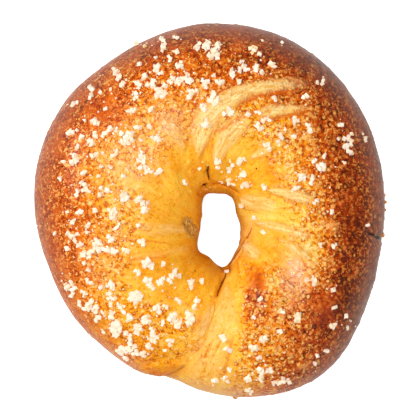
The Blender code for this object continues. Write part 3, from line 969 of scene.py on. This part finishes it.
def makeCrustMaterial(plan, holeCentre):
    material, tree, shader = newMaterial("bakedCrust")
    place = addNode(tree, "TexCoord").outputs["Object"]
    attribute = {name: readAttribute(tree, name) for name in crustAttributes}
    scales = plan["scales"]
    grain = addGroup(tree, surfaceGrain, {"Place": place, "Patch Scale": scales["patches"],
                                          "Grain Scale": scales["grain"]})
    texture = blisterTexture(tree, place, attribute, grain, plan)
    texture |= bandTexture(tree, attribute, texture["worms"], plan["fibres"])
    texture |= creaseTexture(tree, attribute, texture["worms"])
    texture |= {"patches": grain["Patches"], "unevenness": grain["Height"], "raised": attribute["raised"],
                "streaks": streakField(tree, place, holeCentre, plan["streaks"])}
    tree.links.new(crustColour(tree, place, attribute, texture, plan), shader.inputs["Base Color"])
    height = 0.0
    for name, stands in plan["stands"].items():
        height = maths(tree, "MULTIPLY_ADD", texture[name], stands, height)
    bump = addNode(tree, "Bump", {"Height": height, "Distance": mm, "Strength": 1.0})
    tree.links.new(bump.outputs["Normal"], shader.inputs["Normal"])
    tree.links.new(crustRoughness(tree, attribute, texture, plan), shader.inputs["Roughness"])
    glaze = maths(tree, "MULTIPLY_ADD", texture["lifted"], plan["glazeOnBlisters"], attribute["glazed"])
    tree.links.new(glaze, shader.inputs["Coat Weight"])
    shader.inputs["IOR"].default_value = plan["refraction"]
    shader.inputs["Specular IOR Level"].default_value = plan["specular"]
    shader.inputs["Coat Roughness"].default_value = plan["glazeRoughness"]
    shader.inputs["Coat IOR"].default_value = plan["refraction"]
    return material


crustPiece.data.materials.append(makeCrustMaterial(crustFinish, crust["holeCentre"]))
print("crust browned")

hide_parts("bread_ring")
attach(crustPiece, "root")


# small lumps of dough on the rim, at the tip of the fold and at the far end of the hole
doughNubs = {
    # the point in the air that each one is nearest to, and its radius, in millimetres
    "places": [((53.6, 4.6, 16), 0.5), ((53.8, 2.4, 17), 0.65), ((53.6, 0.0, 15), 0.6),
               ((53.8, -7.8, 16), 0.8), ((7.9, -58.0, 14), 0.8), ((-0.8, 6.3, 22), 0.75),
               ((-50.0, 24.0, 14), 0.5)],
    "lumpiness": 0.30,
    "stretch": (0.8, 1.25),
    "colours": [(0.25, (244, 190, 100)), (0.5, (228, 150, 56)), (0.75, (170, 92, 30))],
    "seed": 3,
}


def makeDoughNubs(plan, surface):
    draw = np.random.default_rng(plan["seed"])
    nubs = []
    for spot, radius in plan["places"]:
        landing = surface.find_nearest(Vector(spot) * mm)[0]
        deselectAll()
        bpy.ops.mesh.primitive_ico_sphere_add(radius=radius * mm, subdivisions=2)
        nub = bpy.context.object
        for vertex in nub.data.vertices:
            vertex.co *= 1 + plan["lumpiness"] * noise.noise(vertex.co / (radius * mm) + Vector(spot))
        nub.scale = draw.uniform(*plan["stretch"], 3)
        nub.location = landing
        applyPlace(nub)
        nubs.append(nub)
    makeActive(nubs[0])
    for nub in nubs[1:]:
        nub.select_set(True)
    bpy.ops.object.join()
    bpy.ops.object.shade_smooth()
    nubs[0].name = "doughNubs"
    return nubs[0]


def makeNubMaterial(plan):
    material, tree, shader = newMaterial("doughNub")
    place = addNode(tree, "TexCoord").outputs["Object"]
    grain = addGroup(tree, surfaceGrain, {"Place": place, "Patch Scale": 700.0, "Grain Scale": 2600.0})
    tree.links.new(colourRamp(tree, grain["Patches"], plan["colours"]), shader.inputs["Base Color"])
    bump = addNode(tree, "Bump", {"Height": grain["Height"], "Distance": 0.0002})
    tree.links.new(bump.outputs["Normal"], shader.inputs["Normal"])
    shader.inputs["Roughness"].default_value = 0.5
    shader.inputs["Specular IOR Level"].default_value = 0.35
    return material


crustTree = BVHTree.FromObject(crustPiece, bpy.context.evaluated_depsgraph_get())
nubPiece = makeDoughNubs(doughNubs, crustTree)
nubPiece.data.materials.append(makeNubMaterial(doughNubs))
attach(nubPiece, "root")
print("dough nubs placed:", len(doughNubs["places"]))


# the salt: broken, angular grains, single and in clumps, with fine crumbs round the clumps

salt = {
    "crystals": 7,                  # different grains, each copied many times
    "cornersOff": 3,                # corners broken off a grain, and up to two more
    "cornersOffAt": (0.36, 0.52),   # how far from its middle, as a share of its size
    "crookedness": 0.10,
    "crystalSpan": 1.15,            # roughly how wide one is over its corners, before it is scaled
    "grain": (0.95, 1.52),          # smallest and largest size of a grain, in millimetres
    "crumb": (0.30, 0.62),
    "stretch": (0.8, 1.25),
    "crumbsPerClump": 0.7,          # crumbs for each millimetre of a clump's width
    "crumbReach": 2.3,
    "packing": 1.00,                # grains' spacing in a clump, in millimetres
    "filled": 0.68,                 # share of the square round a clump that its grains fill
    "touching": 0.72,               # how far apart two touching grains are, as a share of their size
    "apart": 0.60,                  # and how near they may come
    "halfHeight": 0.42,             # of a grain, as a share of its size
    "sunk": 0.22,                   # share of a grain that is baked into the crust
    "steepest": 0.12,               # height of the steepest slope's normal that still holds a grain
    "glazed": 0.4,                  # how much yellower the grains under the glaze are
    # colours of the grains, whitest first, and the glow painted on them, which lightens their shaded sides
    "colours": [(0.0, (243, 228, 208)), (0.45, (240, 221, 195)), (0.75, (238, 208, 168)),
                (1.0, (242, 200, 124))],
    "paintedGlow": (255, 236, 206),
    "paintedGlowStrength": 0.09,
    "seed": 5,
    "crystalSeed": 200,
}

# where the salt lies: x, y and how far it spreads, in millimetres
saltClumps = {
    "farLeft": [
        (-28.5, 42.0, 2.0), (-27.6, 40.5, 2.0), (-35.8, 36.9, 1.6), (-36.1, 34.4, 1.6), (-33.1, 35.6, 1.2),
        (-30.0, 36.6, 1.0), (-26.4, 38.2, 1.8), (-41.3, 32.0, 1.8), (-40.1, 32.6, 1.4), (-31.5, 30.8, 1.3),
        (-37.9, 27.3, 1.2), (-34.6, 26.8, 2.4), (-23.5, 30.2, 2.8), (-22.4, 34.3, 2.4), (-14.0, 50.6, 2.6),
        (-14.2, 48.4, 1.0), (-10.2, 52.4, 1.6), (-9.8, 48.1, 1.3), (-12.0, 46.0, 2.0), (-9.0, 44.0, 2.6),
        (-16.3, 46.3, 1.0), (-21.2, 44.2, 1.2), (-16.0, 43.0, 2.8), (-14.8, 41.7, 1.5), (-19.7, 40.5, 1.8),
        (-21.5, 38.2, 2.6), (-17.5, 38.1, 2.8), (-15.1, 35.6, 3.4), (-13.4, 37.6, 1.4), (-11.2, 40.2, 1.8),
        (-11.9, 39.0, 1.6), (-9.0, 39.3, 2.6), (-6.6, 39.9, 3.0), (-5.6, 36.3, 2.2), (-5.9, 34.7, 1.8),
        (-3.8, 36.3, 1.4), (-17.8, 30.8, 1.6),
    ],
    "far": [
        (-3.5, 49.7, 2.6), (-0.8, 49.7, 3.0), (1.4, 47.5, 3.6), (2.6, 50.0, 1.8), (-1.2, 38.1, 2.4),
        (-1.4, 39.0, 2.0), (3.2, 38.8, 2.4), (1.4, 34.0, 3.4), (-1.7, 31.1, 2.4), (1.4, 41.1, 1.2),
        (6.2, 29.7, 3.4), (-1.1, 26.2, 3.0), (15.4, 47.2, 1.4), (16.2, 51.5, 0.9), (22.1, 50.9, 0.9),
        (9.9, 45.1, 1.6), (6.9, 41.9, 2.4), (9.3, 42.7, 1.8), (11.1, 43.0, 2.2), (14.1, 43.3, 2.2),
        (16.0, 41.9, 1.6), (19.4, 44.0, 2.0), (9.1, 39.0, 1.7), (20.0, 33.8, 1.5), (11.7, 28.9, 1.3),
        (14.8, 29.7, 1.8), (16.6, 27.7, 1.6), (15.1, 25.6, 2.2), (18.4, 27.1, 1.1),
    ],
    "farRight": [
        (29.3, 34.4, 1.6), (32.8, 38.7, 1.4), (34.4, 38.9, 1.5), (26.1, 27.3, 2.2), (30.3, 25.1, 2.6),
        (25.8, 22.5, 1.6), (21.8, 22.3, 1.8), (23.0, 24.4, 1.0), (21.1, 20.2, 1.8), (17.8, 19.3, 2.2),
        (39.8, 25.9, 1.5), (42.1, 21.6, 2.4), (41.9, 19.5, 2.2), (43.1, 23.1, 1.3), (42.5, 17.7, 1.6),
        (47.4, 21.6, 1.8), (42.7, 37.2, 1.2), (50.1, 22.5, 1.2), (39.2, 21.6, 0.9), (34.9, 16.4, 1.6),
        (32.0, 15.1, 1.5), (34.3, 13.1, 3.2), (41.0, 14.3, 0.9),
    ],
    "aroundHole": [
        (2.4, 15.1, 2.2), (2.6, 13.1, 1.2), (6.1, 12.5, 2.2), (7.2, 13.7, 1.4), (9.3, 14.9, 2.0),
        (10.8, 15.5, 1.2), (10.5, 11.0, 2.0), (10.8, 7.6, 2.2), (3.8, 8.6, 0.9), (6.1, 8.8, 1.5),
        (7.5, 7.9, 1.1), (16.8, 7.1, 1.5), (9.9, 1.5, 1.3), (14.2, -2.4, 1.3), (16.6, -6.7, 1.8),
        (28.2, 10.0, 2.6), (31.5, 10.0, 1.7), (31.2, 8.6, 1.5), (26.4, 6.4, 2.0), (32.2, 2.4, 1.6),
        (37.3, -0.6, 1.9), (48.0, -4.6, 1.3), (38.1, -10.7, 1.7), (33.8, -10.7, 1.7), (-3.2, 12.8, 1.2),
        (-7.8, 8.5, 1.6),
    ],
    "left": [
        (-41.9, 23.8, 1.8), (-42.8, 23.0, 1.3), (-40.1, 24.1, 1.0), (-38.7, 22.2, 1.4), (-34.7, 23.1, 1.6),
        (-36.1, 20.7, 2.0), (-32.2, 22.8, 1.6), (-30.3, 24.4, 1.8), (-28.2, 24.4, 1.9), (-25.1, 21.9, 4.6),
        (-21.9, 25.1, 1.6), (-18.3, 25.6, 1.2), (-16.3, 21.9, 2.4), (-20.9, 21.3, 1.2), (-40.1, 19.2, 1.8),
        (-40.8, 15.1, 2.6), (-44.3, 14.7, 1.3), (-34.9, 16.7, 1.6), (-32.5, 17.2, 1.2), (-28.8, 17.1, 2.2),
        (-20.6, 16.1, 3.2), (-32.8, 13.2, 1.1), (-30.3, 13.1, 1.1), (-38.3, 11.3, 1.7), (-33.7, 10.3, 1.2),
        (-26.1, 10.3, 1.4), (-45.3, 9.4, 1.3), (-38.9, 8.5, 1.2), (-37.6, 6.5, 2.3), (-40.1, 5.2, 1.5),
        (-32.9, 6.8, 1.3), (-30.6, 5.8, 1.9), (-33.1, 4.9, 1.3), (-19.1, 12.3, 3.2), (-15.6, 11.6, 1.9),
        (-25.8, 4.1, 3.2), (-21.5, 3.3, 2.0), (-19.7, 1.5, 2.4), (-19.7, -0.6, 1.6), (-29.4, -0.9, 3.2),
        (-43.1, -0.5, 1.3), (-39.5, -0.6, 1.6), (-34.7, 0.0, 1.3),
    ],
    "lowerLeft": [
        (-41.5, -3.4, 1.6), (-36.8, -4.6, 1.6), (-37.3, -6.7, 1.4), (-27.9, -4.9, 2.2), (-21.3, -4.6, 1.2),
        (-46.8, -7.0, 1.2), (-42.5, -7.5, 1.9), (-40.7, -7.5, 1.6), (-41.0, -9.0, 1.6),
        (-39.5, -10.4, 1.8), (-43.3, -11.6, 1.4), (-34.3, -10.4, 3.4), (-30.0, -8.9, 2.4),
        (-33.4, -11.9, 1.8), (-31.2, -11.9, 2.0), (-28.8, -12.5, 2.0), (-38.3, -13.3, 2.0),
        (-36.4, -13.3, 3.2), (-25.5, -12.2, 1.6), (-20.6, -10.0, 2.0), (-37.9, -16.2, 1.4),
        (-36.7, -18.2, 1.4), (-21.8, -18.9, 2.2), (-41.9, -22.0, 1.5), (-43.1, -23.5, 1.5),
        (-41.3, -24.0, 1.8), (-41.5, -25.6, 1.8), (-36.5, -21.8, 2.0), (-38.3, -25.0, 1.8),
        (-30.0, -22.7, 2.8), (-32.8, -23.6, 1.4), (-30.3, -25.6, 2.2), (-30.0, -26.8, 2.2),
        (-39.3, -28.4, 1.9), (-36.4, -29.3, 3.8), (-34.3, -30.8, 1.5), (-30.0, -28.7, 1.9),
        (-26.9, -29.1, 2.2), (-26.4, -30.5, 1.7), (-22.7, -26.5, 4.6), (-19.2, -15.9, 2.6),
        (-17.8, -17.1, 2.0), (-14.2, -16.5, 1.9), (-18.7, -22.0, 2.8), (-17.5, -23.8, 1.6),
        (-14.8, -21.8, 2.6), (-12.0, -21.2, 2.2), (-10.5, -19.8, 2.8), (-5.7, -22.6, 2.4),
        (-2.3, -21.9, 1.9), (-15.7, -29.9, 2.8), (-13.3, -29.3, 1.9), (-9.6, -27.4, 1.6),
        (-3.8, -27.8, 2.0), (-4.6, -29.6, 1.6),
    ],
    "near": [
        (-32.5, -31.1, 1.2), (-29.8, -32.2, 2.0), (-34.0, -32.9, 1.6), (-32.2, -37.2, 1.2),
        (-28.5, -35.7, 4.8), (-24.5, -32.9, 2.4), (-24.5, -38.1, 2.0), (-23.9, -39.9, 1.9),
        (-21.8, -36.0, 3.4), (-19.5, -33.5, 3.2), (-17.5, -36.4, 1.6), (-16.9, -39.0, 3.2),
        (-18.3, -41.5, 2.4), (-14.2, -34.5, 1.5), (-10.8, -32.8, 3.0), (-9.6, -34.9, 2.6),
        (-6.0, -33.0, 4.2), (-12.0, -40.2, 2.4), (-26.7, -42.7, 3.2), (-24.2, -42.1, 3.0),
        (-22.4, -43.3, 2.0), (-25.1, -45.0, 1.8), (-20.0, -43.6, 2.0), (-13.6, -42.7, 1.2),
        (4.3, -39.0, 1.6), (5.6, -42.4, 1.7), (6.2, -48.5, 1.4), (1.7, -51.8, 1.6), (4.7, -51.2, 1.7),
        (5.6, -52.1, 1.3),
    ],
    "nearRight": [
        (5.0, -19.2, 1.4), (15.4, -27.4, 1.4), (13.6, -32.6, 1.3), (37.6, -24.4, 1.4), (37.9, -29.7, 1.4),
        (41.6, -32.0, 1.4), (41.9, -35.7, 1.3), (46.8, -32.6, 1.1), (16.5, -39.3, 2.0), (13.6, -42.1, 2.4),
        (15.1, -44.8, 1.6), (21.5, -36.9, 1.6), (11.7, -51.2, 2.6), (15.7, -48.8, 2.6), (18.4, -48.8, 2.0),
        (15.7, -51.2, 2.0), (12.3, -55.0, 2.8), (20.0, -52.4, 1.8), (22.1, -51.8, 2.0), (24.2, -51.8, 1.8),
        (35.2, -42.8, 1.4), (32.8, -44.2, 1.3), (31.9, -46.6, 1.3),
    ],
}

# grains that the glaze ran over, so that they baked yellow
bakedInClumps = [
    (-22.1, 50.3, 1.4), (-19.7, 49.7, 1.2), (13.4, 48.8, 2.4), (21.8, -30.8, 2.0), (37.5, -35.2, 2.0),
    (26.7, -32.9, 2.6), (29.7, -21.4, 1.6), (31.9, -21.7, 2.2),
]


def makeCrystal(plan, shape):
    # a cube with a few corners broken off, then pushed out of true
    draw = np.random.default_rng(plan["crystalSeed"] + shape)
    deselectAll()
    bpy.ops.mesh.primitive_cube_add(size=1.0)
    piece = bpy.context.object
    bpy.ops.object.mode_set(mode="EDIT")
    for corner in range(plan["cornersOff"] + shape % 3):
        facing = Vector(draw.uniform(-1, 1, 3)).normalized()
        bpy.ops.mesh.select_all(action="SELECT")
        bpy.ops.mesh.bisect(plane_co=facing * draw.uniform(*plan["cornersOffAt"]), plane_no=facing,
                            clear_outer=True, use_fill=True)
    bpy.ops.mesh.select_all(action="SELECT")
    bpy.ops.mesh.remove_doubles(threshold=0.02)
    bpy.ops.mesh.quads_convert_to_tris()
    bpy.ops.mesh.normals_make_consistent(inside=False)
    bpy.ops.object.mode_set(mode="OBJECT")
    corners = vertexArray(piece.data.vertices, "co")
    corners *= 1 + draw.uniform(-plan["crookedness"], plan["crookedness"], (len(corners), 1))
    triangles = np.array([face.vertices[:] for face in piece.data.polygons])
    bpy.data.objects.remove(piece)
    return corners - corners.mean(axis=0), triangles


def clumpSpots(plan, draw, sizes):
    # each grain lies against one that is already there, rather towards the clump's middle
    tries, nearestOf = 12, 3
    spots = [np.zeros(2)]
    for size in sizes[1:]:
        found = []
        for turn, host in zip(draw.uniform(0, math.tau, tries), draw.integers(len(spots), size=tries)):
            found.append(spots[host] + plan["touching"] * size * np.array([math.cos(turn), math.sin(turn)]))
        free = [spot for spot in found
                if min(np.linalg.norm(spot - other) for other in spots) > plan["apart"] * size]
        spots.append(min((free or found)[:nearestOf], key=np.linalg.norm))
    return np.array(spots) - np.mean(spots, axis=0)


def clumpedPlaces(plan, draw, clumps, baked):
    # for each clump, the places and sizes of its grains, then of the crumbs strewn round it
    low, high = plan["grain"]
    for x, y, spread in clumps:
        count = max(1, round((spread / plan["packing"]) ** 2 * plan["filled"]))
        sizes = draw.uniform(low, high, count) if count > 1 else [min(spread, high)]
        for (east, north), size in zip(clumpSpots(plan, draw, sizes), sizes):
            yield x + east, y + north, size, baked
        for crumb in range(int(draw.poisson(spread * plan["crumbsPerClump"]))):
            out, turn = spread / 2 + draw.exponential(plan["crumbReach"]), draw.uniform(0, math.tau)
            yield x + out * math.cos(turn), y + out * math.sin(turn), draw.uniform(*plan["crumb"]), baked


def makeSalt(plan, surface):
    crystals = [makeCrystal(plan, shape) for shape in range(plan["crystals"])]
    draw = np.random.default_rng(plan["seed"])
    places = [item for clumps in saltClumps.values() for item in clumpedPlaces(plan, draw, clumps, 0)]
    places += list(clumpedPlaces(plan, draw, bakedInClumps, 1))
    corners, triangles, tints, count = [], [], [], 0
    for x, y, size, baked in places:
        hit, facing = landOn(surface, x, y)
        if hit is None or facing.z < plan["steepest"]:
            continue
        points, faces = crystals[draw.integers(len(crystals))]
        turn = facing.to_track_quat("Z", "Y") @ Euler(draw.uniform(0, math.tau, 3)).to_quaternion()
        stretch = draw.uniform(*plan["stretch"], 3)
        placed = (points * stretch * size) @ np.array(turn.to_matrix()).T / plan["crystalSpan"]
        middle = np.array(hit) / mm + np.array(facing) * size * (plan["halfHeight"] - plan["sunk"])
        corners.append(placed + middle)
        triangles.append(faces + count)
        tints.append(np.full(len(points), draw.uniform(0, 1 - plan["glazed"]) + plan["glazed"] * baked))
        count += len(points)
    mesh = bpy.data.meshes.new("salt")
    mesh.from_pydata((np.concatenate(corners) * mm).tolist(), [], np.concatenate(triangles).tolist())
    piece = bpy.data.objects.new("salt", mesh)
    bpy.context.collection.objects.link(piece)
    storeAttribute(mesh, "tint", np.concatenate(tints))
    print("salt strewn:", len(corners), "grains,", len(mesh.polygons), "triangles")
    return piece


def makeSaltMaterial(plan):
    material, tree, shader = newMaterial("coarseSalt")
    place = addNode(tree, "TexCoord").outputs["Object"]
    grain = addGroup(tree, surfaceGrain, {"Place": place, "Patch Scale": 900.0, "Grain Scale": 4200.0})
    tint = maths(tree, "MULTIPLY_ADD", grain["Patches"], 0.5,
                 maths(tree, "SUBTRACT", readAttribute(tree, "tint"), 0.25))
    tree.links.new(colourRamp(tree, tint, plan["colours"]), shader.inputs["Base Color"])
    bump = addNode(tree, "Bump", {"Height": grain["Height"], "Distance": 0.00012})
    tree.links.new(bump.outputs["Normal"], shader.inputs["Normal"])
    rough = maths(tree, "MULTIPLY_ADD", grain["Grain"], 0.3, 0.2)
    tree.links.new(rough, shader.inputs["Roughness"])
    # painted glow: emission that lightens the grains' shaded sides; the salt is no lamp
    shader.inputs["Emission Color"].default_value = paint(*plan["paintedGlow"])
    shader.inputs["Emission Strength"].default_value = plan["paintedGlowStrength"]
    return material


saltPiece = makeSalt(salt, crustTree)
saltPiece.data.materials.append(makeSaltMaterial(salt))
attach(saltPiece, "root")
print("salt made")


print("all pieces in place")
